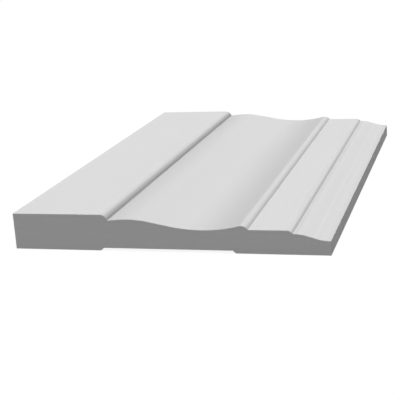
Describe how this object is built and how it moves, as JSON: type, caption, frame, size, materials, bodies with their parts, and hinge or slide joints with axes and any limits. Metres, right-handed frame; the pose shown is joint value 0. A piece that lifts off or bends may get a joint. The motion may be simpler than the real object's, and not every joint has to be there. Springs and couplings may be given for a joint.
{
  "type": "skirting board length",
  "caption": "Length of wide primed skirting board: thick plain band, shallow ogee, small bead, flat band and thin ogee nose on a relieved back.",
  "frame": {"origin": "centre of the board's footprint, in the plane of the back that bears on the wall", "axes": "+X across the board from the thick edge, which stands on the floor in use, to the thin edge; +Y along the board; +Z out of the moulded face"},
  "size_m": [0.165, 0.264, 0.0191],
  "materials": {
    "primed_board": "matt white primer over a machined moulding"
  },
  "bodies": {
    "root": {"moulded_board": "primed_board"}
  },
  "joints": []
}
